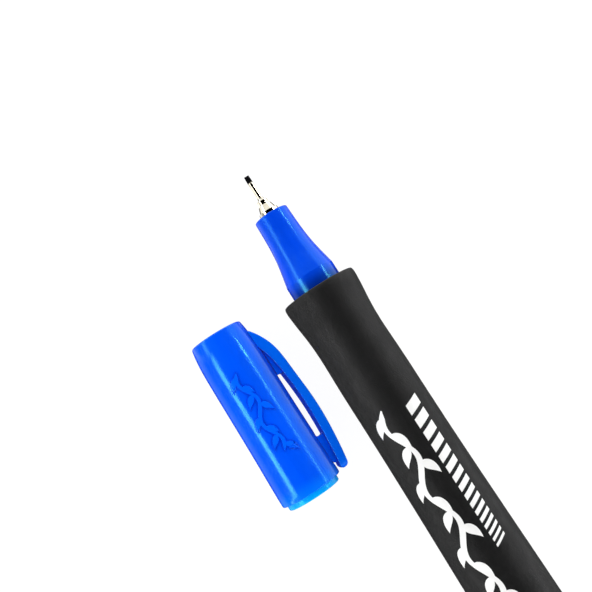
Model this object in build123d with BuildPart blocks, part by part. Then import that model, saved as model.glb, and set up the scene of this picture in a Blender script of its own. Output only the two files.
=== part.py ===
from build123d import *
import os
from math import cos, radians, sin

# Calligraphy marker with its cap off, lying on its side. Millimetres.
# Frame: origin at the centre of the barrel's front rim, +X along the pen towards the nib,
# +Y towards the cap, which lies beside the pen, and +Z up.

# Barrel
BARREL_LENGTH = 112.0
RIM_RADIUS = 6.6
WAIST_RADIUS = 5.94
WAIST_X = -9.6
BELLY_RADIUS = 6.6
BELLY_X = -82.0
TAIL_RADIUS = 5.35
MOUTH_BORE_RADIUS = 4.9
MOUTH_BORE_DEPTH = 12.2
BODY_BORE_RADIUS = 4.6
RIB_COUNT = 4
RIB_THICKNESS = 0.8
RIB_FRONT_X = -14.0
RIB_REAR_X = -101.0

# Tail plug
PLUG_HEIGHT = 0.8
PLUG_SKIRT_LENGTH = 8.0
PLUG_WALL = 0.9

# Nose section
NOSE_LENGTH = 14.62
NOSE_FRONT_RADIUS = 3.05
SEAT_RADIUS = 4.38
SEAT_FRONT_X = 2.6
SEAT_REAR_X = -0.05
NECK_RADIUS = 4.15
SPIGOT_FRONT_X = -1.3
SPIGOT_REAR_X = -12.0
HOLDER_BORE_RADIUS = 1.5
HOLDER_SEAT_X = 9.0
NOSE_CAVITY_RADIUS = 2.4
CUP_RADIUS = 4.0
CUP_FRONT_X = -3.0

# Steel tip, nib and holder
TUBE_RADIUS = 0.48
TUBE_BORE_RADIUS = 0.4
TUBE_TIP_X = 21.05
COLLAR_RADIUS = 0.95
COLLAR_FRONT_X = 17.45
COLLAR_REAR_X = 16.6
CONE_FRONT_RADIUS = 1.15
CONE_REAR_RADIUS = 1.5
CONE_REAR_X = 15.45
FLANGE_RADIUS = 1.75
STEM_RADIUS = 1.1
STEM_REAR_X = 11.0
NIB_TIP_X = 22.4
NIB_WIDTH = 0.95
NIB_DEPTH = 0.64
NIB_TIP_WIDTH = 0.86
NIB_TIP_DEPTH = 0.3
ROD_RADIUS = 0.37
ROD_REAR_X = -8.0

# Ink reservoir
CORE_RADIUS = 3.8
CORE_FRONT_X = -3.2
CORE_REAR_X = -100.0
WRAP_THICKNESS = 0.1
BREATHER_RADIUS = 0.6
BREATHER_WALL = 0.2
BREATHER_REAR_X = -102.5
BREATHER_OFFSET = CORE_RADIUS - BREATHER_RADIUS - 0.05

# Cap: it lies beside the pen with its mouth towards the tail
CAP_Y = 18.45
CAP_MOUTH_X = -26.94
CAP_LENGTH = 29.54
CAP_MOUTH_RADIUS = 5.4
CAP_TOP_RADIUS = 4.6
CAP_Z = CAP_MOUTH_RADIUS - BELLY_RADIUS
SHELL_BORE_RADIUS = 4.7
SHELL_BORE_DEPTH = 10.0
SHELL_INNER_RADIUS = 4.45
SHELL_TAPER_DEPTH = 24.0
SHELL_ROOF = 1.6
POCKET_FLOOR = 5.02
POCKET_DEPTH = 4.5
POCKET_LENGTH = 7.4
POCKET_WIDTH = 3.2

# Inner cap
LIP_LENGTH = 0.96
LIP_BORE_RADIUS = 4.41
LIP_BORE_DEPTH = 2.94
LINER_SEAT_DEPTH = 9.0
LINER_THROAT_DEPTH = 8.0
LINER_RADIUS = 4.2
LINER_BORE_RADIUS = 3.6
LINER_DEPTH = 24.4
LINER_WALL = 0.7
LINER_DOME = 3.0

# Clip: it stands on the pen side of the cap, rolled a little below the horizontal
CLIP_ROLL = 10.0
CLIP_WIDTH = 4.6
CLIP_TIP_WIDTH = 3.7
CLIP_THICKNESS = 1.55
CLIP_EDGE_RADIUS = 0.2
CLIP_ROOT_DEPTH = 27.19
CLIP_ROOT_HEIGHT = 4.8
CLIP_ARCH = 8.06
CLIP_ARCH_DEPTH = 12.09
CLIP_REAR_HEIGHT = 7.62
CLIP_REAR_DEPTH = 18.5
CLIP_FRONT_HEIGHT = 7.86
CLIP_FRONT_DEPTH = 5.7
CLIP_TIP_DEPTH = 0.08
WEB_WIDTH = 2.4
WEB_DEPTH = 18.6
RIB_WIDTH = 1.8
RIB_DEPTH = 6.6

# Fits
FIT_GAP = 0.02
CLIP_GAP = 0.08

PEN_PLANE = Plane.XZ
CAP_ORIGIN = (CAP_MOUTH_X, CAP_Y, CAP_Z)
CAP_AXIS = Axis(CAP_ORIGIN, (1, 0, 0))
# Local x runs from the cap's mouth to its closed end, local y is the distance from its axis.
CAP_PLANE = Plane(origin=CAP_ORIGIN, x_dir=(1, 0, 0), z_dir=(0, -1, 0))
CLIP_SIDE = (0, sin(radians(CLIP_ROLL)), -cos(radians(CLIP_ROLL)))
CLIP_OUT = (0, -cos(radians(CLIP_ROLL)), -sin(radians(CLIP_ROLL)))
CLIP_PLANE = Plane(origin=CAP_ORIGIN, x_dir=(1, 0, 0), z_dir=CLIP_SIDE)
CLIP_PLAN = Plane(origin=CAP_ORIGIN, x_dir=(1, 0, 0), z_dir=CLIP_OUT)


def build_barrel():
    """Body tube: blunt rim, finger waist, long swell and a tapered tail, with ribs inside."""
    rim_edge = 0.25
    with BuildPart() as barrel:
        with BuildSketch(PEN_PLANE):
            with BuildLine():
                skin = Spline(
                    (-1.0, RIM_RADIUS),
                    (-3.5, 6.4),
                    (-7.1, 6.04),
                    (WAIST_X, WAIST_RADIUS),
                    (-14.5, 6.0),
                    (-24.0, 6.03),
                    (-45.0, 6.24),
                    (BELLY_X, BELLY_RADIUS),
                    (1.2 - BARREL_LENGTH, TAIL_RADIUS + 0.12),
                )
                crown = Spline((-rim_edge, RIM_RADIUS - 0.08), skin @ 0, tangents=((-1, 0.35), skin % 0))
                lip = RadiusArc((0, RIM_RADIUS - 0.08 - rim_edge), crown @ 0, -rim_edge)
                front = Line((0, MOUTH_BORE_RADIUS), lip @ 0)
                tail = Spline(
                    skin @ 1,
                    (-BARREL_LENGTH, TAIL_RADIUS - 0.45),
                    tangents=(skin % 1, (-0.2, -1)),
                )
                Polyline(
                    tail @ 1,
                    (-BARREL_LENGTH, BODY_BORE_RADIUS),
                    (-MOUTH_BORE_DEPTH, BODY_BORE_RADIUS),
                    (-MOUTH_BORE_DEPTH, MOUTH_BORE_RADIUS),
                    front @ 0,
                )
            make_face()
        revolve(axis=Axis.X)
        rib_inner = CORE_RADIUS + WRAP_THICKNESS + 0.1
        rib_height = BODY_BORE_RADIUS - rib_inner + 0.2
        with BuildSketch(Plane.YZ.offset(RIB_REAR_X)):
            with PolarLocations(rib_inner + rib_height / 2, RIB_COUNT, start_angle=45):
                Rectangle(rib_height, RIB_THICKNESS)
        extrude(amount=RIB_FRONT_X - RIB_REAR_X)
    return barrel


def build_tail_plug():
    """Domed plug with a hollow skirt pressed into the tail of the barrel."""
    spigot = BODY_BORE_RADIUS - FIT_GAP
    end_x = -BARREL_LENGTH - PLUG_HEIGHT
    with BuildPart() as tail_plug:
        with BuildSketch(PEN_PLANE):
            with BuildLine():
                face = Line((end_x, 0), (end_x, spigot - 1.0))
                dome = Spline(
                    face @ 1,
                    (-BARREL_LENGTH, spigot),
                    tangents=((0, 1), (1, 0.3)),
                )
                Polyline(
                    dome @ 1,
                    (-BARREL_LENGTH + PLUG_SKIRT_LENGTH, spigot),
                    (-BARREL_LENGTH + PLUG_SKIRT_LENGTH, spigot - PLUG_WALL),
                    (-BARREL_LENGTH + 1.0, spigot - PLUG_WALL),
                    (-BARREL_LENGTH + 1.0, 0),
                    face @ 0,
                )
            make_face()
        revolve(axis=Axis.X)
    return tail_plug


def build_nose_section():
    """Tapered front section: seat ring for the cap, snap neck, spigot and reservoir cup."""
    spigot = MOUTH_BORE_RADIUS - FIT_GAP
    with BuildPart() as nose_section:
        with BuildSketch(PEN_PLANE) as wall:
            with BuildLine():
                flank = Spline(
                    (NOSE_LENGTH, NOSE_FRONT_RADIUS),
                    (10.5, 3.18),
                    (7.4, 3.46),
                    (5.4, 3.8),
                    (SEAT_FRONT_X + 0.45, SEAT_RADIUS - 0.1),
                )
                Polyline(
                    flank @ 1,
                    (SEAT_FRONT_X, SEAT_RADIUS),
                    (SEAT_REAR_X, SEAT_RADIUS),
                    (SEAT_REAR_X - 0.15, NECK_RADIUS),
                    (SPIGOT_FRONT_X, NECK_RADIUS),
                    (SPIGOT_FRONT_X, spigot),
                    (SPIGOT_REAR_X, spigot),
                    (SPIGOT_REAR_X, CUP_RADIUS),
                    (CUP_FRONT_X, CUP_RADIUS),
                    (CUP_FRONT_X, NOSE_CAVITY_RADIUS),
                    (4.0, NOSE_CAVITY_RADIUS),
                    (HOLDER_SEAT_X, HOLDER_BORE_RADIUS),
                    (NOSE_LENGTH, HOLDER_BORE_RADIUS),
                    flank @ 0,
                )
            make_face()
            fillet(wall.vertices().sort_by(Axis.X)[-2:].sort_by(Axis.Y)[-1], 0.18)
        revolve(axis=Axis.X)
    return nose_section


def build_nib_holder():
    """Bush in the front of the nose, bored for the steel stem and for the feed rod."""
    with BuildPart() as nib_holder:
        with BuildSketch(PEN_PLANE):
            with BuildLine():
                Polyline(
                    (HOLDER_SEAT_X + 0.2, ROD_RADIUS + 0.05),
                    (HOLDER_SEAT_X + 0.2, HOLDER_BORE_RADIUS - FIT_GAP),
                    (NOSE_LENGTH, HOLDER_BORE_RADIUS - FIT_GAP),
                    (NOSE_LENGTH, STEM_RADIUS + FIT_GAP),
                    (STEM_REAR_X - 0.05, STEM_RADIUS + FIT_GAP),
                    (STEM_REAR_X - 0.05, ROD_RADIUS + 0.05),
                    close=True,
                )
            make_face()
        revolve(axis=Axis.X)
    return nib_holder


def build_tip_sleeve():
    """Stepped steel tip: stem, flange, cone, collar and the thin tube that guides the nib."""
    flange_rear_x = NOSE_LENGTH + 0.03
    with BuildPart() as tip_sleeve:
        with BuildSketch(PEN_PLANE) as wall:
            with BuildLine():
                Polyline(
                    (STEM_REAR_X, TUBE_BORE_RADIUS),
                    (STEM_REAR_X, STEM_RADIUS),
                    (flange_rear_x, STEM_RADIUS),
                    (flange_rear_x, FLANGE_RADIUS),
                    (CONE_REAR_X, FLANGE_RADIUS),
                    (CONE_REAR_X, CONE_REAR_RADIUS),
                    (COLLAR_REAR_X, CONE_FRONT_RADIUS),
                    (COLLAR_REAR_X, COLLAR_RADIUS),
                    (COLLAR_FRONT_X, COLLAR_RADIUS),
                    (COLLAR_FRONT_X + 0.25, TUBE_RADIUS + 0.06),
                    (COLLAR_FRONT_X + 0.6, TUBE_RADIUS),
                    (TUBE_TIP_X, TUBE_RADIUS),
                    (TUBE_TIP_X, TUBE_BORE_RADIUS),
                    close=True,
                )
            make_face()
            rims = wall.vertices().filter_by(lambda v: v.Y > COLLAR_RADIUS - 0.01 and v.X > flange_rear_x + 0.1)
            fillet(rims, 0.08)
            fillet(wall.vertices().filter_by(lambda v: v.X > TUBE_TIP_X - 0.1).sort_by(Axis.Y)[-1], 0.05)
        revolve(axis=Axis.X)
    return tip_sleeve


def build_nib():
    """Round feed rod that ends in a short chisel nib."""
    with BuildPart() as nib:
        with BuildSketch(Plane.YZ.offset(ROD_REAR_X)):
            Circle(ROD_RADIUS)
        extrude(amount=TUBE_TIP_X - ROD_REAR_X)
        with BuildSketch(Plane.YZ.offset(TUBE_TIP_X)):
            RectangleRounded(NIB_WIDTH, NIB_DEPTH, NIB_DEPTH * 0.35)
        with BuildSketch(Plane.YZ.offset(NIB_TIP_X)):
            RectangleRounded(NIB_TIP_WIDTH, NIB_TIP_DEPTH, NIB_TIP_DEPTH * 0.35)
        loft()
        writing_edge = nib.edges().group_by(Axis.X)[-1]
        fillet(writing_edge, 0.06)
    return nib


def build_reservoir_core():
    """Fibre ink reservoir, with a socket for the feed rod and a groove for the air tube."""
    length = CORE_FRONT_X - CORE_REAR_X
    with BuildPart() as reservoir_core:
        with BuildSketch(Plane.YZ.offset(CORE_REAR_X)):
            Circle(CORE_RADIUS)
            with Locations((0, -BREATHER_OFFSET)):
                SlotOverall(4 * BREATHER_RADIUS, 2 * BREATHER_RADIUS + 0.1, rotation=90, mode=Mode.SUBTRACT)
        extrude(amount=length)
        with BuildSketch(Plane.YZ.offset(CORE_FRONT_X)):
            Circle(ROD_RADIUS + 0.03)
        extrude(amount=-(CORE_FRONT_X - ROD_REAR_X) - 0.2, mode=Mode.SUBTRACT)
    return reservoir_core


def build_reservoir_wrap():
    """Film sleeve round the fibre."""
    inner = CORE_RADIUS + FIT_GAP
    with BuildPart() as reservoir_wrap:
        with BuildSketch(Plane.YZ.offset(CORE_REAR_X)):
            Circle(inner + WRAP_THICKNESS)
            Circle(inner, mode=Mode.SUBTRACT)
        extrude(amount=CORE_FRONT_X - CORE_REAR_X)
    return reservoir_wrap


def build_breather_tube():
    """Thin air tube beside the fibre, open at both ends."""
    with BuildPart() as breather_tube:
        with BuildSketch(Plane.YZ.offset(BREATHER_REAR_X)):
            with Locations((0, -BREATHER_OFFSET)):
                Circle(BREATHER_RADIUS)
                Circle(BREATHER_RADIUS - BREATHER_WALL, mode=Mode.SUBTRACT)
        extrude(amount=CORE_FRONT_X - 0.1 - BREATHER_REAR_X)
    return breather_tube


def shell_skin(gap):
    """Outer line of the cap from mouth to closed end, stood off by gap."""
    return Spline(
        (0.5, CAP_MOUTH_RADIUS + gap),
        (3.0, CAP_MOUTH_RADIUS - 0.02 + gap),
        (8.0, 5.28 + gap),
        (15.0, 5.2 + gap),
        (22.6, 5.14 + gap),
        (27.8, 4.88 + gap),
        (CAP_LENGTH, CAP_TOP_RADIUS + gap),
    )


def build_cap_shell():
    """Cap body: closed end, stepped bore for the inner cap, flat pocket under the clip's tip."""
    mouth_edge = 0.2
    with BuildPart() as cap_shell:
        with BuildSketch(CAP_PLANE) as wall:
            with BuildLine():
                skin = shell_skin(0)
                mouth = Spline(
                    (0, CAP_MOUTH_RADIUS - mouth_edge),
                    skin @ 0,
                    tangents=((0, 1), skin % 0),
                )
                Polyline(
                    mouth @ 0,
                    (0, SHELL_BORE_RADIUS),
                    (SHELL_BORE_DEPTH, SHELL_BORE_RADIUS),
                    (SHELL_BORE_DEPTH + 0.3, SHELL_INNER_RADIUS),
                    (SHELL_TAPER_DEPTH, SHELL_INNER_RADIUS),
                    (CAP_LENGTH - SHELL_ROOF, SHELL_INNER_RADIUS - 0.5),
                    (CAP_LENGTH - SHELL_ROOF, 0),
                    (CAP_LENGTH, 0),
                    skin @ 1,
                )
            make_face()
            fillet(wall.vertices().sort_by(Axis.X)[-2:].sort_by(Axis.Y)[-1], 0.3)
        revolve(axis=CAP_AXIS)
        with BuildSketch(CLIP_PLAN.offset(POCKET_FLOOR)):
            with Locations((POCKET_DEPTH, 0)):
                SlotOverall(POCKET_LENGTH, POCKET_WIDTH)
        extrude(amount=CAP_MOUTH_RADIUS - POCKET_FLOOR + 0.5, mode=Mode.SUBTRACT)
    return cap_shell


def build_inner_cap():
    """Sealing liner: its lip stands out of the mouth and slides over the nose's seat ring."""
    seat = SHELL_BORE_RADIUS - FIT_GAP
    dome_x = LINER_DEPTH - LINER_DOME
    with BuildPart() as inner_cap:
        with BuildSketch(CAP_PLANE):
            with BuildLine():
                bore = Polyline(
                    (-LIP_LENGTH, LIP_BORE_RADIUS),
                    (LIP_BORE_DEPTH, LIP_BORE_RADIUS),
                    (LINER_THROAT_DEPTH, LINER_BORE_RADIUS + 0.1),
                    (dome_x, LINER_BORE_RADIUS),
                )
                inside_end = EllipticalCenterArc(
                    (dome_x, 0), LINER_DOME, LINER_BORE_RADIUS, start_angle=0, arc_size=90
                )
                Line(inside_end @ 0, (LINER_DEPTH + LINER_WALL, 0))
                outside_end = EllipticalCenterArc(
                    (dome_x, 0), LINER_DOME + LINER_WALL, LINER_RADIUS, start_angle=0, arc_size=90
                )
                Polyline(
                    outside_end @ 1,
                    (LINER_SEAT_DEPTH + 0.5, LINER_RADIUS),
                    (LINER_SEAT_DEPTH, seat),
                    (-LIP_LENGTH + 0.12, seat),
                    (-LIP_LENGTH, seat - 0.12),
                    bore @ 0,
                )
            make_face()
        revolve(axis=CAP_AXIS)
    return inner_cap


def build_cap_clip():
    """Pocket clip: arched blade with a web at its root, and a rib that stands in the shell's pocket."""
    with BuildPart() as cap_clip:
        with BuildSketch(CLIP_PLANE):
            with BuildLine():
                outer = Spline(
                    (CLIP_ROOT_DEPTH, CLIP_ROOT_HEIGHT),
                    (25.5, 5.98),
                    (23.2, 6.98),
                    (CLIP_REAR_DEPTH, CLIP_REAR_HEIGHT),
                    (CLIP_ARCH_DEPTH, CLIP_ARCH),
                    (CLIP_FRONT_DEPTH, CLIP_FRONT_HEIGHT),
                    (0.7, 7.27),
                )
                inner = Spline(
                    (0.95, 5.9),
                    (CLIP_FRONT_DEPTH, CLIP_FRONT_HEIGHT - CLIP_THICKNESS),
                    (CLIP_ARCH_DEPTH, CLIP_ARCH - CLIP_THICKNESS),
                    (CLIP_REAR_DEPTH, CLIP_REAR_HEIGHT - CLIP_THICKNESS),
                    (22.0, 5.45),
                    (24.2, 4.6),
                )
                ThreePointArc(outer @ 1, (CLIP_TIP_DEPTH, 6.6), inner @ 0)
                Polyline(inner @ 1, (CLIP_ROOT_DEPTH, 4.3), outer @ 0)
            make_face()
        extrude(amount=CLIP_WIDTH / 2, both=True)
        with BuildSketch(CLIP_PLAN):
            with BuildLine():
                side = Spline(
                    (CLIP_ROOT_DEPTH + 0.5, CLIP_WIDTH / 2),
                    (CLIP_ARCH_DEPTH, CLIP_WIDTH / 2 - 0.05),
                    (1.6, CLIP_TIP_WIDTH / 2),
                )
                ThreePointArc(side @ 1, (CLIP_TIP_DEPTH - 0.05, 0), (1.6, -CLIP_TIP_WIDTH / 2))
                mirror(side, about=Plane.XZ)
                Line(side @ 0, (CLIP_ROOT_DEPTH + 0.5, -CLIP_WIDTH / 2))
            make_face()
        extrude(amount=10, mode=Mode.INTERSECT)
        long_edges = cap_clip.edges().filter_by(lambda edge: edge.length > CLIP_ARCH_DEPTH)
        fillet(long_edges, CLIP_EDGE_RADIUS)
        with BuildSketch(CLIP_PLANE):
            with BuildLine():
                gap_end = ThreePointArc((WEB_DEPTH - 0.5, 6.3), (WEB_DEPTH, 5.75), (WEB_DEPTH - 0.5, 4.7))
                Polyline(gap_end @ 1, (24.4, 4.7), (23.6, 6.3), (21.6, 6.5), gap_end @ 0)
            make_face()
        extrude(amount=WEB_WIDTH / 2, both=True)
        with BuildSketch(CAP_PLANE):
            with BuildLine():
                skin = shell_skin(CLIP_GAP)
                Polyline(
                    skin @ 1,
                    (CAP_LENGTH, 0),
                    (-1.0, 0),
                    (-1.0, CAP_MOUTH_RADIUS + CLIP_GAP),
                    skin @ 0,
                )
            make_face()
        revolve(axis=CAP_AXIS, mode=Mode.SUBTRACT)
        foot = POCKET_FLOOR + CLIP_GAP
        with BuildSketch(CLIP_PLANE):
            with BuildLine():
                gap_end = ThreePointArc((RIB_DEPTH + 0.5, 6.6), (RIB_DEPTH, 5.9), (RIB_DEPTH + 0.3, foot))
                Polyline(gap_end @ 1, (2.1, foot), (1.6, 5.52), (1.5, 6.4), gap_end @ 0)
            make_face()
        extrude(amount=RIB_WIDTH / 2, both=True)
    return cap_clip


PARTS = {
    "barrel": build_barrel,
    "tail_plug": build_tail_plug,
    "nose_section": build_nose_section,
    "nib_holder": build_nib_holder,
    "tip_sleeve": build_tip_sleeve,
    "nib": build_nib,
    "reservoir_core": build_reservoir_core,
    "reservoir_wrap": build_reservoir_wrap,
    "breather_tube": build_breather_tube,
    "cap_shell": build_cap_shell,
    "inner_cap": build_inner_cap,
    "cap_clip": build_cap_clip,
}

os.makedirs("parts", exist_ok=True)
for name, build in PARTS.items():
    piece = build()
    piece.part.label = name
    export_step(piece.part, f"parts/{name}.step")
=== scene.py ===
import math

import bpy
import numpy as np
from mathutils import Matrix, Vector


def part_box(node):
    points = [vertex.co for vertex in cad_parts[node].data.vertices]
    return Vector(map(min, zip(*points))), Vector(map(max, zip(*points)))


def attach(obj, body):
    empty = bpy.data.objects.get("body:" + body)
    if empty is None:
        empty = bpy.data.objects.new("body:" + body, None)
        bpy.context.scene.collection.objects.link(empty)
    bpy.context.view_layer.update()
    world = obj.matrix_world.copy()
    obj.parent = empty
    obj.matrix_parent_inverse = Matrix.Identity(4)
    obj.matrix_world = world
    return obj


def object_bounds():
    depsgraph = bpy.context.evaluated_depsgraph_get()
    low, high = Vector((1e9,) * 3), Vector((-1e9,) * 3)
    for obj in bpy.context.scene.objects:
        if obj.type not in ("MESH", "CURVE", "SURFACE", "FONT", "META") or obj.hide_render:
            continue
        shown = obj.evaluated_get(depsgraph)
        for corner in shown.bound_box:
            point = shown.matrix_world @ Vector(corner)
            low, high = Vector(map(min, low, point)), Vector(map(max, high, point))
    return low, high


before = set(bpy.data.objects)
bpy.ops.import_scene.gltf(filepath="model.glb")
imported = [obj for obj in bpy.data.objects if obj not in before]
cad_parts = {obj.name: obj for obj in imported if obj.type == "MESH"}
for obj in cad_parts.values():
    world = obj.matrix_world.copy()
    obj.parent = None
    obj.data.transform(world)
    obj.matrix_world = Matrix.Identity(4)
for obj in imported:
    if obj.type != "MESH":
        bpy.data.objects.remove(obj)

# Looks of the calligraphy marker and its cap, in metres, in the frame of the CAD model.
# Sizes with the suffix _MM, and the drawings of the prints, are in millimetres.

CAD_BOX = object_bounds()
MM = 0.001

# Camera: the pen's axis runs from the nib at the upper left to the tail at the lower right
LENS_MM = 50.0
SENSOR_MM = 36.0
NEAR_CLIP_MM = 10.0
CAMERA_PLACE = Vector((-12.65, 9.29, 134.6)) * MM
LOOK_FORWARD = Vector((0.10034, -0.04113, -0.99410))
PICTURE_UP = Vector((0.83864, -0.53412, 0.10674))

# Colours, linear
CAP_BLUE = (0.0, 0.082, 0.87)
CAP_MOUTH_BLUE = (0.0, 0.145, 0.9)
NOSE_BLUE = (0.0, 0.052, 0.68)
LINER_BLUE = (0.0, 0.40, 1.0)
# The clip is the cap's plastic in a lighter blue: painted light where the cap and barrel keep light off it
CLIP_PAINTED_LIGHT_BLUE = (0.0, 0.14, 1.0)
# Painted light: the relief's top is the cap's plastic in a lighter blue
RELIEF_PAINTED_LIGHT_BLUE = (0.0, 0.110, 0.92)
# Painted shadow: a darker blue for the low foot round the relief
PAINTED_SHADOW_BLUE = (0.0, 0.052, 0.72)
BODY_BLACK = (0.004, 0.004, 0.0042)
PRINT_WHITE = (0.80, 0.80, 0.79)
STEEL = (0.97, 0.91, 0.74)
IVORY = (0.74, 0.70, 0.56)
INK_BLACK = (0.001, 0.001, 0.002)
FIBRE_BLUE = (0.01, 0.03, 0.30)
FILM = (0.72, 0.76, 0.82)
# Tint of the highlights on the blue plastic, and how far the nose is darkened at its seat by painted shade
BLUE_GLOSS = (0.17, 1.0, 1.0)
SEAT_PAINTED_SHADE = 0.45

# Roughness of the glossy pieces, and what a scratch adds to it
CAP_ROUGHNESS = 0.16
NOSE_ROUGHNESS = 0.2
LINER_ROUGHNESS = 0.25
RELIEF_ROUGHNESS = 0.2
OUTLINE_ROUGHNESS = 0.3
SCRATCH_ROUGHNESS = 0.06

# Prints on the barrel: places along the pen, and round its skin from the top line (+ towards the cap)
BARS_FRONT_MM = -22.8
BARS_REAR_MM = -48.2
BARS_MIDDLE_MM = -2.5
BARS_HEIGHT_MM = 2.6
BARS_SLANT_MM = 0.9
BAR_WIDTH_MM = 1.75
BAR_THINNING_MM = 1.35
BAR_GAP_MM = 0.75
BAR_GAP_LOSS_MM = 0.25
BAR_HEIGHT_LOSS = 0.12
VINE_FRONT_MM = -21.9
VINE_REAR_MM = -79.0
VINE_MIDDLE_MM = 2.5
VINE_SWING_MM = 1.1
VINE_WAVES = 5
VINE_LEAF_MM = 3.6
VINE_LEAF_WIDTH_MM = 1.45
VINE_END_TAPER = 0.02
INK_THICKNESS_MM = 0.02
INK_DEPTH_MM = 0.03

# The broad nib that draws the stems, and what all stems and leaves share
NIB_ANGLE = math.radians(52)
NIB_WIDTH_MM = 0.95
NIB_EDGE_MM = 0.4
POINTS_PER_WAVE = 40
CURVE_STEP_MM = 0.12
LEAVES_PER_WAVE = 4
LEAF_PHASE = 0.4
LEAF_TURN = 0.95
LEAF_BEND = 0.2
# Least shares and powers that shape the ends of the strokes and the swell of the leaves
STROKE_LEAST = 0.12
STROKE_POWER = 0.7
LEAF_LEAST = 0.06
LEAF_POWER = 0.7

# Relief on the cap, with painted light on its top and a painted shadow in the low, wider foot round it
RELIEF_FRONT_MM = -4.6
RELIEF_REAR_MM = -19.2
RELIEF_WAVES = 2
RELIEF_SWING_MM = 0.75
RELIEF_HEIGHT_MM = 0.3
RELIEF_INSET_MM = 0.18
RELIEF_DEPTH_MM = 0.15
RELIEF_STEM_MM = 0.8
RELIEF_STEM_EDGE_MM = 0.7
RELIEF_END_TAPER = 0.05
RELIEF_LEAF_MM = 2.5
RELIEF_LEAF_WIDTH_MM = 1.2
OUTLINE_HEIGHT_MM = 0.06
OUTLINE_WIDTH_MM = 0.32

# Radii that part the outer skins of the barrel and the cap from their bores
BARREL_SKIN_ABOVE_MM = 5.15
CAP_SKIN_ABOVE_MM = 4.75

# Where colours change along the pen: the nose in front of its seat, darkened by painted shade, and the cap
# next to its mouth
SEAT_FRONT_MM = 2.8
CAP_MOUTH_MM = -26.94
CAP_PALE_LENGTH_MM = 2.6

FLOOR_REACH_MM = 1500.0
FLOOR_GREYS = (0.09, 0.11)
FLOOR_GLOW = 0.95


# ---------------------------------------------------------------- materials


class Finish:
    """A Principled material. Its patterns are fixed to the piece and measured in millimetres."""

    def __init__(self, name, roughness, ior=1.5, metallic=0.0, tint=(1.0, 1.0, 1.0)):
        self.material = bpy.data.materials.new(name)
        self.material.use_nodes = True
        self.tree = self.material.node_tree
        self.shader = self.tree.nodes["Principled BSDF"]
        self.shader.inputs["Roughness"].default_value = roughness
        self.shader.inputs["IOR"].default_value = ior
        self.shader.inputs["Metallic"].default_value = metallic
        self.shader.inputs["Specular Tint"].default_value = (*tint, 1.0)
        self.place = self.vector("SCALE", self.add("ShaderNodeTexCoord").outputs["Object"], 1 / MM)

    def add(self, kind, **settings):
        node = self.tree.nodes.new(kind)
        for key, value in settings.items():
            setattr(node, key, value)
        return node

    def feed(self, socket, value):
        """Links an output to the socket, or sets it to a number or a colour."""
        if isinstance(value, bpy.types.NodeSocket):
            self.tree.links.new(value, socket)
        elif isinstance(value, (tuple, list)) and len(value) < len(socket.default_value):
            socket.default_value = (*value, 1.0)
        else:
            socket.default_value = value

    def vector(self, operation, value, scale):
        node = self.add("ShaderNodeVectorMath", operation=operation)
        self.feed(node.inputs[0], value)
        self.feed(node.inputs["Scale"], scale)
        return node.outputs["Vector"]

    def sum(self, operation, *values):
        node = self.add("ShaderNodeMath", operation=operation)
        for socket, value in zip(node.inputs, values):
            self.feed(socket, value)
        return node.outputs["Value"]

    def axes(self):
        """The place as three numbers: along X, Y and Z."""
        node = self.add("ShaderNodeSeparateXYZ")
        self.feed(node.inputs["Vector"], self.place)
        return node.outputs["X"], node.outputs["Y"], node.outputs["Z"]

    def noise(self, size, detail=2.0, roughness=0.5):
        """Noise from 0 to 1 with cells of that size along X, Y and Z."""
        stretch = self.add("ShaderNodeMapping")
        self.feed(stretch.inputs["Vector"], self.place)
        self.feed(stretch.inputs["Scale"], [1 / edge for edge in size])
        node = self.add("ShaderNodeTexNoise")
        self.feed(node.inputs["Vector"], stretch.outputs["Vector"])
        self.feed(node.inputs["Scale"], 1.0)
        self.feed(node.inputs["Detail"], detail)
        self.feed(node.inputs["Roughness"], roughness)
        return node.outputs["Fac"]

    def spread(self, value, start, end, low=0.0, high=1.0):
        """The value's range from start to end, laid smoothly from low to high."""
        node = self.add("ShaderNodeMapRange", interpolation_type="SMOOTHSTEP")
        for socket, number in zip(node.inputs, (value, start, end, low, high)):
            self.feed(socket, number)
        return node.outputs["Result"]

    def blend(self, share, first, second):
        node = self.add("ShaderNodeMix", data_type="RGBA")
        self.feed(node.inputs["Factor"], share)
        self.feed(node.inputs[6], first)
        self.feed(node.inputs[7], second)
        return node.outputs[2]

    def colour(self, value):
        self.feed(self.shader.inputs["Base Color"], value)

    def roughness(self, value):
        self.feed(self.shader.inputs["Roughness"], value)

    def bump(self, *layers):
        """Relief from (height, depth in millimetres) layers, added up."""
        total = None
        for height, depth in layers:
            layer = self.sum("MULTIPLY", height, depth)
            total = layer if total is None else self.sum("ADD", total, layer)
        node = self.add("ShaderNodeBump")
        self.feed(node.inputs["Height"], total)
        self.feed(node.inputs["Distance"], MM)
        self.feed(node.inputs["Strength"], 1.0)
        self.tree.links.new(node.outputs["Normal"], self.shader.inputs["Normal"])


def shade(colour, factor):
    return tuple(min(1.0, part * factor) for part in colour)


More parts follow.
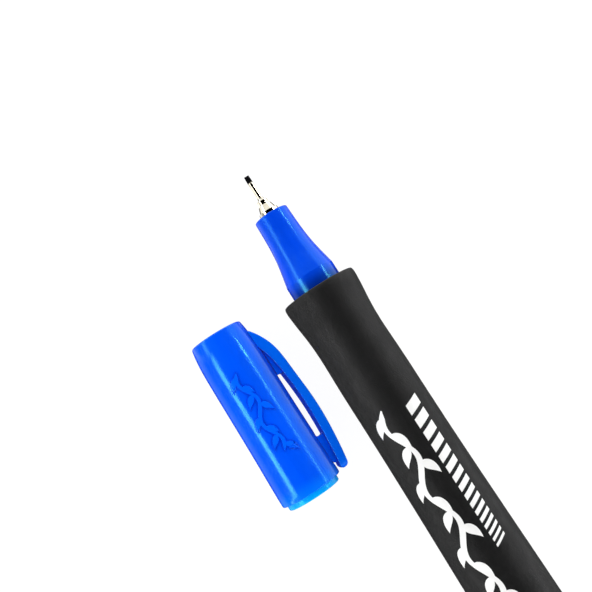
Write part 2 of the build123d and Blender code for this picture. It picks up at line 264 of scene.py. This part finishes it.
def gloss_blue(name, colour, roughness, fade=None):
    """Glossy moulded blue with flow marks, a slow ripple and fine scratches.

    A fade is (x from, x to, colour): the colour holds behind x from and is gone at x to. On the nose the
    fade is painted shade at its seat.
    """
    finish = Finish(name, roughness, ior=1.5, tint=BLUE_GLOSS)
    flow = finish.noise((9.0, 3.0, 3.0), detail=3.0)
    body = finish.blend(finish.spread(flow, 0.3, 0.7), shade(colour, 0.94), shade(colour, 1.05))
    if fade:
        start, end, other = fade
        along, _, _ = finish.axes()
        body = finish.blend(finish.spread(along, start, end), other, body)
    finish.colour(body)
    scratch = finish.spread(finish.noise((5.0, 0.07, 0.07), detail=1.0), 0.70, 0.78)
    cloud = finish.noise((1.6, 1.1, 1.1), detail=4.0)
    haze = finish.spread(cloud, 0.35, 0.75, roughness * 0.8, roughness * 1.35)
    finish.roughness(finish.sum("ADD", haze, finish.sum("MULTIPLY", scratch, SCRATCH_ROUGHNESS)))
    ripple = finish.noise((4.5, 1.8, 1.8), detail=1.0)
    skin = finish.noise((0.25, 0.25, 0.25), detail=2.0)
    finish.bump((ripple, 0.005), (skin, 0.0008), (scratch, -0.0006))
    return finish.material


def matte_black():
    """Soft matte body: fine spark-eroded grain, mottled sheen, a rubbed front rim."""
    finish = Finish("body_black", 0.5, ior=1.37)
    along, _, _ = finish.axes()
    mottle = finish.noise((3.5, 1.6, 1.6), detail=5.0, roughness=0.6)
    rubbed = finish.spread(along, -1.1, -0.1)
    body = finish.blend(finish.spread(mottle, 0.3, 0.7), shade(BODY_BLACK, 0.8), shade(BODY_BLACK, 1.3))
    finish.colour(finish.blend(finish.sum("MULTIPLY", rubbed, 0.5), body, shade(BODY_BLACK, 2.2)))
    finish.roughness(finish.spread(mottle, 0.25, 0.75, 0.62, 0.5))
    grain = finish.noise((0.24, 0.24, 0.24), detail=3.0, roughness=0.65)
    orange_peel = finish.noise((1.1, 0.8, 0.8), detail=2.0)
    finish.bump((grain, 0.045), (orange_peel, 0.02))
    return finish.material


def print_white():
    """Screen-printed white ink: slightly uneven, with the weave of the screen just showing."""
    finish = Finish("print_white", 0.42, ior=1.45)
    cloud = finish.noise((1.5, 1.0, 1.0), detail=4.0)
    finish.colour(finish.blend(finish.spread(cloud, 0.3, 0.7), shade(PRINT_WHITE, 0.93), PRINT_WHITE))
    finish.roughness(finish.spread(cloud, 0.3, 0.7, 0.36, 0.5))
    finish.bump((finish.noise((0.09, 0.09, 0.09), detail=2.0), 0.003))
    return finish.material


def turned_steel():
    """Bright nickelled steel with fine turning marks round the axis."""
    finish = Finish("tip_steel", 0.12, metallic=1.0)
    rings = finish.noise((0.045, 6.0, 6.0), detail=3.0)
    stain = finish.noise((0.7, 0.7, 0.7), detail=4.0)
    finish.colour(finish.blend(finish.spread(stain, 0.35, 0.75), STEEL, shade(STEEL, 0.88)))
    finish.roughness(finish.spread(rings, 0.3, 0.7, 0.02, 0.07))
    finish.bump((rings, 0.0003))
    return finish.material


def inked_fibre(name, colour, strand, depth, roughness):
    """Bonded fibre soaked with ink: strands along the pen, pores between them."""
    finish = Finish(name, roughness, ior=1.15)
    strands = finish.noise((strand * 14, strand, strand), detail=3.0)
    pores = finish.noise((strand * 2, strand * 1.5, strand * 1.5), detail=4.0)
    finish.colour(finish.blend(finish.spread(strands, 0.35, 0.65), shade(colour, 0.5), shade(colour, 1.6)))
    finish.roughness(finish.spread(pores, 0.3, 0.7, roughness - 0.12, roughness + 0.12))
    finish.bump((strands, depth), (pores, depth * 0.7))
    return finish.material


def plain_plastic(name, colour, roughness, cell):
    """Unpainted plastic of the inner pieces: cloudy, with a fine moulded skin."""
    finish = Finish(name, roughness, ior=1.48)
    cloud = finish.noise((cell * 3, cell, cell), detail=4.0)
    finish.colour(finish.blend(finish.spread(cloud, 0.3, 0.7), shade(colour, 0.88), shade(colour, 1.06)))
    finish.roughness(finish.spread(cloud, 0.3, 0.7, roughness * 0.8, roughness * 1.2))
    finish.bump((finish.noise((cell / 5, cell / 5, cell / 5), detail=3.0), cell * 0.004))
    return finish.material


def paper_floor():
    """Pale, evenly lit sweep: part of its light is its own, so that shadows stay faint."""
    finish = Finish("paper", 0.9, ior=1.3)
    cloud = finish.noise((60.0, 60.0, 60.0), detail=2.0)
    finish.colour(finish.blend(cloud, *[(grey, grey, grey) for grey in FLOOR_GREYS]))
    finish.feed(finish.shader.inputs["Emission Color"], (1.0, 1.0, 1.0))
    finish.feed(finish.shader.inputs["Emission Strength"], FLOOR_GLOW)
    return finish.material


# ---------------------------------------------------------------- meshes


def mesh_piece(name, points, faces, material, smooth=True):
    """Object from points in millimetres. Faces point outwards on closed pieces."""
    mesh = bpy.data.meshes.new(name)
    mesh.from_pydata([Vector(point) * MM for point in points], [], faces)
    mesh.validate()
    mesh.update()
    piece = bpy.data.objects.new(name, mesh)
    bpy.context.scene.collection.objects.link(piece)
    mesh.materials.append(material)
    mesh.polygons.foreach_set("use_smooth", [smooth] * len(mesh.polygons))
    return piece


def radius_by_x(node, centre, least):
    """Outer radius of a round node against x, in millimetres, read from its own mesh.

    Points nearer to the axis than the least radius belong to bores and are left out.
    """
    places = np.array([vertex.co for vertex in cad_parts[node].data.vertices], float) / MM
    reach = np.hypot(places[:, 1] - centre[1], places[:, 2] - centre[2])
    outer = reach > least
    stations = np.round(places[outer, 0], 2)
    xs = np.unique(stations)
    radii = np.array([reach[outer][stations == x].max() for x in xs])
    return lambda x: float(np.interp(x, xs, radii))


class Skin:
    """The unrolled surface of a round body: x along it, s round it from the top towards +Y.

    Nothing on it stands higher than its ceiling.
    """

    LEAST_COSINE = 0.1

    def __init__(self, radius, centre=(0.0, 0.0, 0.0), ceiling=math.inf):
        self.radius = radius
        self.centre = centre
        self.ceiling = ceiling

    def point(self, x, s, lift):
        radius = self.radius(x)
        angle = s / radius
        out = min(radius + lift, self.ceiling / max(math.cos(angle), self.LEAST_COSINE))
        return (x, self.centre[1] + out * math.sin(angle), self.centre[2] + out * math.cos(angle))


class Sheet:
    """Collects thin closed solids that lie on a skin, from a low to a high level over it."""

    MOST_NARROWING = 0.9

    def __init__(self, skin, low, high):
        self.skin = skin
        self.low = low
        self.high = high
        self.points = []
        self.faces = []

    def strip(self, left, right, across=6, inset=0.0):
        """Closed solid between two lines of (x, s) places. Its top may be narrower, so its sides slope."""
        left = np.array(left, float)
        right = np.array(right, float)
        rows = len(left)
        shares = np.linspace(0, 1, across + 1)
        first = len(self.points)
        for level, drawn_in in ((self.low, 0.0), (self.high, inset)):
            for i in range(rows):
                width = np.linalg.norm(right[i] - left[i])
                narrow = 1 - min(2 * drawn_in / width, self.MOST_NARROWING)
                for share in shares:
                    x, s = left[i] + (right[i] - left[i]) * (0.5 + (share - 0.5) * narrow)
                    self.points.append(self.skin.point(x, s, level))
        wide = across + 1
        layer = rows * wide
        flip = self._turn(left, right) < 0
        faces = []
        for i in range(rows - 1):
            for j in range(across):
                a = first + i * wide + j
                faces.append((a, a + 1, a + 1 + wide, a + wide))
                b = a + layer
                faces.append((b, b + wide, b + 1 + wide, b + 1))
        ring = [i * wide for i in range(rows)]
        ring += [(rows - 1) * wide + j for j in range(1, wide)]
        ring += [i * wide + across for i in range(rows - 2, -1, -1)]
        ring += [j for j in range(across - 1, 0, -1)]
        for k, here in enumerate(ring):
            there = ring[(k + 1) % len(ring)]
            a, b = first + here, first + there
            faces.append((a, b, b + layer, a + layer))
        self.faces += [tuple(reversed(face)) for face in faces] if flip else faces

    @staticmethod
    def _turn(left, right):
        """Sign of the strip's winding: along it, then across it."""
        along = left[1] - left[0]
        across = right[0] - left[0]
        return along[0] * across[1] - along[1] * across[0]

    def piece(self, name, material):
        return mesh_piece(name, self.points, self.faces, material, smooth=False)


def curl(start, heading, length, bend):
    """Points along a curve with an even bend, in radians per millimetre."""
    count = max(4, int(round(length / CURVE_STEP_MM)))
    part = length / count
    x, s = start
    points = [(x, s)]
    for _ in range(count):
        heading += bend * part / 2
        x += math.cos(heading) * part
        s += math.sin(heading) * part
        heading += bend * part / 2
        points.append((x, s))
    return points


def directions(path):
    """Unit direction at each point of a path."""
    along = np.gradient(path, axis=0)
    return along / np.linalg.norm(along, axis=1)[:, None]


def sweep(sheet, path, along, half, inset):
    """A strip with half its width on each side of a path."""
    side = np.stack([-along[:, 1], along[:, 0]], 1) * half[:, None]
    sheet.strip(path - side, path + side, inset=inset)


def pen_stroke(sheet, path, width=NIB_WIDTH_MM, edge=NIB_EDGE_MM, taper=VINE_END_TAPER, inset=0.0):
    """A broad-nib stroke: thick across the nib's angle, thin along it, drawn in at its ends."""
    path = np.array(path, float)
    along = directions(path)
    nib = (math.cos(NIB_ANGLE), math.sin(NIB_ANGLE))
    across_nib = np.abs(along[:, 0] * nib[1] - along[:, 1] * nib[0])
    share = np.linspace(0, 1, len(path))
    half = (edge + across_nib * (width - edge)) / 2
    half *= np.clip(np.minimum(share, 1 - share) / taper, STROKE_LEAST, 1) ** STROKE_POWER
    sweep(sheet, path, along, half, inset)


def leaf_stroke(sheet, start, heading, length, bend, width, inset=0.0):
    """A leaf: a curved stroke that swells in its first half and runs out to a point."""
    path = np.array(curl(start, heading, length, bend), float)
    share = np.linspace(0, 1, len(path))
    half = width / 2 * np.maximum(np.sin(math.pi * share**LEAF_POWER), LEAF_LEAST)
    sweep(sheet, path, directions(path), half, inset)


def slanted_bar(sheet, x, middle, width, height, slant, rows=8):
    """One chisel stroke across the row: a leaning bar with parallel ends."""
    left = []
    right = []
    for share in np.linspace(0, 1, rows + 1):
        s = middle + height * (share - 0.5)
        lean = slant * (share - 0.5)
        left.append((x + lean, s))
        right.append((x + lean + width, s))
    sheet.strip(left, right, across=4)


# ---------------------------------------------------------------- pieces


def add_bars(skin, material):
    """Row of chisel strokes that go from bold to fine."""
    sheet = Sheet(skin, -INK_DEPTH_MM, INK_THICKNESS_MM)
    x = BARS_FRONT_MM
    while x > BARS_REAR_MM:
        share = (BARS_FRONT_MM - x) / (BARS_FRONT_MM - BARS_REAR_MM)
        width = BAR_WIDTH_MM - BAR_THINNING_MM * share
        gap = BAR_GAP_MM - BAR_GAP_LOSS_MM * share
        height = BARS_HEIGHT_MM * (1.0 - BAR_HEIGHT_LOSS * share)
        x -= width
        slanted_bar(sheet, x, BARS_MIDDLE_MM, width, height, -BARS_SLANT_MM)
        x -= gap
    piece = sheet.piece("print_bars", material)
    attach(piece, "pen")


def wavy_stem(front, rear, middle, swing, waves):
    """Points of a stem that runs from front to rear and swings about its middle line."""
    stem = []
    for share in np.linspace(0, 1, waves * POINTS_PER_WAVE + 1):
        turn = share * waves * 2 * math.pi
        stem.append((front + share * (rear - front), middle + swing * math.sin(turn)))
    return stem


def add_leaves(sheet, front, rear, middle, swing, waves, length, width, inset=0.0):
    """Leaves on both sides of a wavy stem, in turn."""
    count = waves * LEAVES_PER_WAVE
    for i in range(count):
        side = 1 if i % 2 == 0 else -1
        share = (i + LEAF_PHASE) / count
        root = middle + swing * math.sin(share * waves * 2 * math.pi)
        start = (front + share * (rear - front), root)
        heading = math.pi - side * LEAF_TURN
        leaf_stroke(sheet, start, heading, length, side * LEAF_BEND, width, inset)


def add_vine(skin, material):
    """Running vine drawn with a broad nib: a wavy stem with leaves on both sides."""
    sheet = Sheet(skin, -INK_DEPTH_MM, INK_THICKNESS_MM)
    course = (VINE_FRONT_MM, VINE_REAR_MM, VINE_MIDDLE_MM, VINE_SWING_MM, VINE_WAVES)
    pen_stroke(sheet, wavy_stem(*course))
    add_leaves(sheet, *course, length=VINE_LEAF_MM, width=VINE_LEAF_WIDTH_MM)
    piece = sheet.piece("print_vine", material)
    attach(piece, "pen")


def add_relief(skin, top, painted_shadow_look):
    """Raised sprig on top of the cap in a lighter blue as painted light, on a low and slightly wider foot
    in a darker blue, a painted shadow that outlines it.
    """
    course = (RELIEF_FRONT_MM, RELIEF_REAR_MM, 0.0, RELIEF_SWING_MM, RELIEF_WAVES)
    layers = (
        ("cap_relief", top, RELIEF_HEIGHT_MM, RELIEF_INSET_MM, 0.0),
        ("cap_relief_painted_shadow", painted_shadow_look, OUTLINE_HEIGHT_MM, 0.0, OUTLINE_WIDTH_MM),
    )
    for name, material, height, inset, wider in layers:
        sheet = Sheet(skin, -RELIEF_DEPTH_MM, height)
        pen_stroke(
            sheet,
            wavy_stem(*course),
            width=RELIEF_STEM_MM + wider,
            edge=RELIEF_STEM_EDGE_MM + wider,
            taper=RELIEF_END_TAPER,
            inset=inset,
        )
        add_leaves(
            sheet,
            *course,
            length=RELIEF_LEAF_MM + wider,
            width=RELIEF_LEAF_WIDTH_MM + wider,
            inset=inset,
        )
        piece = sheet.piece(name, material)
        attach(piece, "cap")


# ---------------------------------------------------------------- stage


def make_camera():
    data = bpy.data.cameras.new("camera")
    data.lens = LENS_MM
    data.sensor_width = SENSOR_MM
    data.clip_start = NEAR_CLIP_MM * MM
    data.dof.use_dof = False
    camera = bpy.data.objects.new("camera", data)
    bpy.context.scene.collection.objects.link(camera)
    right = LOOK_FORWARD.cross(PICTURE_UP).normalized()
    up = right.cross(LOOK_FORWARD).normalized()
    turn = Matrix((right, up, -LOOK_FORWARD.normalized())).transposed()
    camera.matrix_world = Matrix.Translation(CAMERA_PLACE) @ turn.to_4x4()
    bpy.context.scene.camera = camera


# What glossy surfaces mirror is told by two numbers of a direction: its angle round the pen in degrees,
# 0 straight up and + on the cap's side, and its tilt, the share of it that points to the nib.
FULL_TURN = (-180.0, 180.0)
TILTS = (-0.5, 0.5)
# Radiance by the angle
STUDIO_RING = (
    (-180, 0.02),
    (-128, 0.02),
    (-121, 1.45),
    (-60, 1.45),
    (-56, 0.0),
    (42, 0.0),
    (50, 0.35),
    (66, 0.35),
    (72, 0.02),
    (97, 0.02),
    (106, 0.5),
    (134, 0.55),
    (142, 0.02),
    (180, 0.02),
)
# The narrow lamp on the side away from the cap, and the strip light on the cap's side
LAMP_ANGLE = -65.5
LAMP_HALF_WIDTH = 1.1
LAMP_BY_TILT = (
    (-0.5, 10.0),
    (0.04, 10.0),
    (0.07, 17.0),
    (0.11, 32.0),
    (0.15, 50.0),
    (0.22, 50.0),
    (0.25, 0.0),
)
STRIP_HALF_WIDTH = 7.6
STRIP_ANGLE_BY_TILT = (
    (-0.5, 88.0),
    (-0.2, 80.0),
    (-0.07, 54.0),
    (0.14, 54.0),
    (0.17, 49.0),
    (0.23, 49.0),
    (0.27, 61.0),
)
STRIP_BY_TILT = (
    (-0.5, 4.0),
    (-0.2, 4.0),
    (-0.07, 12.0),
    (0.14, 12.0),
    (0.17, 9.5),
    (0.19, 9.5),
    (0.21, 3.0),
    (0.25, 3.0),
    (0.28, 4.0),
)
# Low panels on both sides of the nib, as (angle, half width), which mostly the steel's edges mirror
SIDE_PANELS = ((126.0, 52.0), (-160.0, 26.0))
SIDE_BY_TILT = (
    (-0.5, 0.0),
    (0.195, 0.0),
    (0.21, 0.9),
    (0.235, 0.9),
    (0.25, 0.0),
    (0.5, 0.0),
)
# Lights are full within this share of their half width, and out beyond that one
LIGHT_EDGE = (0.6, 1.4)
# The panel in front of the nib: cones and rounded ends that face it mirror this radiance
FRONT_TILT = (0.46, 0.6)
FRONT_LEVEL = 0.95
# Diffuse light comes mostly from the sides: none from straight up, this radiance at the horizon
HORIZON_LIGHT = 3.7


def make_world():
    """Soft light from the sides for the colours, and a ring of studio panels for the reflections."""
    world = bpy.data.worlds.new("studio")
    bpy.context.scene.world = world
    world.use_nodes = True
    # Rays meet this world only by scattering, so each one knows whether it is glossy or diffuse
    world.cycles.sampling_method = "NONE"
    tree = world.node_tree
    nodes, links = tree.nodes, tree.links
    direction = nodes.new("ShaderNodeTexCoord").outputs["Generated"]
    split = nodes.new("ShaderNodeSeparateXYZ")
    links.new(direction, split.inputs[0])

    def join(node, *values):
        for socket, value in zip(node.inputs, values):
            if isinstance(value, bpy.types.NodeSocket):
                links.new(value, socket)
            else:
                socket.default_value = value

    def compute(operation, *values):
        node = nodes.new("ShaderNodeMath")
        node.operation = operation
        join(node, *values)
        return node.outputs[0]

    def ease(value, start, end, low, high):
        node = nodes.new("ShaderNodeMapRange")
        node.interpolation_type = "SMOOTHSTEP"
        join(node, value, start, end, low, high)
        return node.outputs["Result"]

    def by_steps(value, steps, start, end):
        """The level that belongs to the value, read off evenly between the steps."""
        top = max(level for _, level in steps)
        ramp = nodes.new("ShaderNodeValToRGB")
        ramp.color_ramp.interpolation = "LINEAR"
        stops = ramp.color_ramp.elements
        while len(stops) > 1:
            stops.remove(stops[0])
        for i, (place, level) in enumerate(steps):
            share = (place - start) / (end - start)
            stop = stops[0] if i == 0 else stops.new(share)
            stop.position = share
            stop.color = (level / top, level / top, level / top, 1)
        scaled = compute("DIVIDE", compute("SUBTRACT", value, start), end - start)
        links.new(scaled, ramp.inputs[0])
        return compute("MULTIPLY", ramp.outputs["Color"], top)

    def light(centre, half_width, level):
        """A light along the whole pen, at an angle round it."""
        away = compute("ABSOLUTE", compute("SUBTRACT", degrees, centre))
        full, out = (half_width * share for share in LIGHT_EDGE)
        return compute("MULTIPLY", ease(away, full, out, 1.0, 0.0), level)

    angle = compute("ARCTAN2", split.outputs["Y"], split.outputs["Z"])
    degrees = compute("MULTIPLY", angle, 180 / math.pi)
    tilt = split.outputs["X"]
    ring = by_steps(degrees, STUDIO_RING, *FULL_TURN)
    lamp_level = by_steps(tilt, LAMP_BY_TILT, *TILTS)
    ring = compute("ADD", ring, light(LAMP_ANGLE, LAMP_HALF_WIDTH, lamp_level))
    strip_angle = by_steps(tilt, STRIP_ANGLE_BY_TILT, *TILTS)
    strip_level = by_steps(tilt, STRIP_BY_TILT, *TILTS)
    ring = compute("ADD", ring, light(strip_angle, STRIP_HALF_WIDTH, strip_level))
    side_level = by_steps(tilt, SIDE_BY_TILT, *TILTS)
    for centre, half_width in SIDE_PANELS:
        ring = compute("ADD", ring, light(centre, half_width, side_level))
    ring = compute("ADD", ring, ease(tilt, *FRONT_TILT, 0.0, FRONT_LEVEL))

    # Glossy rays see the ring, diffuse rays the low light, and the camera a white ground
    path = nodes.new("ShaderNodeLightPath")
    mirrored = path.outputs["Is Glossy Ray"]
    scattered = path.outputs["Is Diffuse Ray"]
    plain = compute("SUBTRACT", compute("SUBTRACT", 1.0, mirrored), scattered)
    low_light = compute("MULTIPLY", compute("SUBTRACT", 1.0, split.outputs["Z"]), HORIZON_LIGHT)
    total = compute("ADD", compute("MULTIPLY", ring, mirrored), compute("MULTIPLY", low_light, scattered))
    total = compute("ADD", total, plain)
    links.new(total, nodes["Background"].inputs["Strength"])
    nodes["Background"].inputs["Color"].default_value = (1, 1, 1, 1)


def make_floor():
    level = CAD_BOX[0][2] / MM
    reach = FLOOR_REACH_MM
    corners = [(x * reach, y * reach, level) for x, y in ((-1, -1), (1, -1), (1, 1), (-1, 1))]
    floor = mesh_piece("floor", corners, [(0, 1, 2, 3)], paper_floor())
    floor.visible_glossy = False


# ---------------------------------------------------------------- making

make_camera()
make_world()
make_floor()

CAP_FADE = (CAP_MOUTH_MM, CAP_MOUTH_MM + CAP_PALE_LENGTH_MM, CAP_MOUTH_BLUE)
# Painted shade: the nose's blue darkens over its last millimetres before the barrel's rim, where its seat
# lies in shade
NOSE_PAINTED_SHADE = (0.0, SEAT_FRONT_MM, shade(NOSE_BLUE, SEAT_PAINTED_SHADE))
film = plain_plastic("film", FILM, roughness=0.25, cell=1.5)
LOOKS = {
    "barrel": matte_black(),
    "tail_plug": gloss_blue("ink_blue", NOSE_BLUE, NOSE_ROUGHNESS),
    "nose_section": gloss_blue("nose_blue", NOSE_BLUE, NOSE_ROUGHNESS, NOSE_PAINTED_SHADE),
    "nib_holder": plain_plastic("holder_ivory", IVORY, roughness=0.45, cell=0.6),
    "tip_sleeve": turned_steel(),
    "nib": inked_fibre("nib_black", INK_BLACK, strand=0.04, depth=0.004, roughness=0.5),
    "reservoir_core": inked_fibre("fibre", FIBRE_BLUE, strand=0.18, depth=0.03, roughness=0.8),
    "reservoir_wrap": film,
    "breather_tube": film,
    "cap_shell": gloss_blue("cap_shell_blue", CAP_BLUE, CAP_ROUGHNESS, CAP_FADE),
    "inner_cap": gloss_blue("liner_blue", LINER_BLUE, LINER_ROUGHNESS),
    # The clip's lighter blue is painted light
    "cap_clip": gloss_blue("clip_blue_painted_light", CLIP_PAINTED_LIGHT_BLUE, CAP_ROUGHNESS),
}
for name, material in LOOKS.items():
    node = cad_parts[name]
    node.data.materials.clear()
    node.data.materials.append(material)
    # The pieces stay out of each other's reflections: each mirrors the studio alone
    node.visible_glossy = False

barrel_radius = radius_by_x("barrel", (0, 0, 0), BARREL_SKIN_ABOVE_MM)
barrel_skin = Skin(barrel_radius, ceiling=CAD_BOX[1][2] / MM)
ink = print_white()
add_bars(barrel_skin, ink)
add_vine(barrel_skin, ink)

cap_low, cap_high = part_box("cap_shell")
cap_centre = (cap_low + cap_high) / 2 / MM
cap_skin = Skin(radius_by_x("cap_shell", cap_centre, CAP_SKIN_ABOVE_MM), cap_centre)
# The relief's lighter top is painted light, its darker foot a painted shadow
relief_painted_light_blue = gloss_blue("relief_painted_light_blue", RELIEF_PAINTED_LIGHT_BLUE, RELIEF_ROUGHNESS)
# Darker blue of the relief's foot: a painted shadow round the relief
painted_shadow_finish = gloss_blue("painted_shadow_finish", PAINTED_SHADOW_BLUE, OUTLINE_ROUGHNESS)
add_relief(cap_skin, relief_painted_light_blue, painted_shadow_finish)

bpy.context.scene.view_settings.view_transform = "Standard"
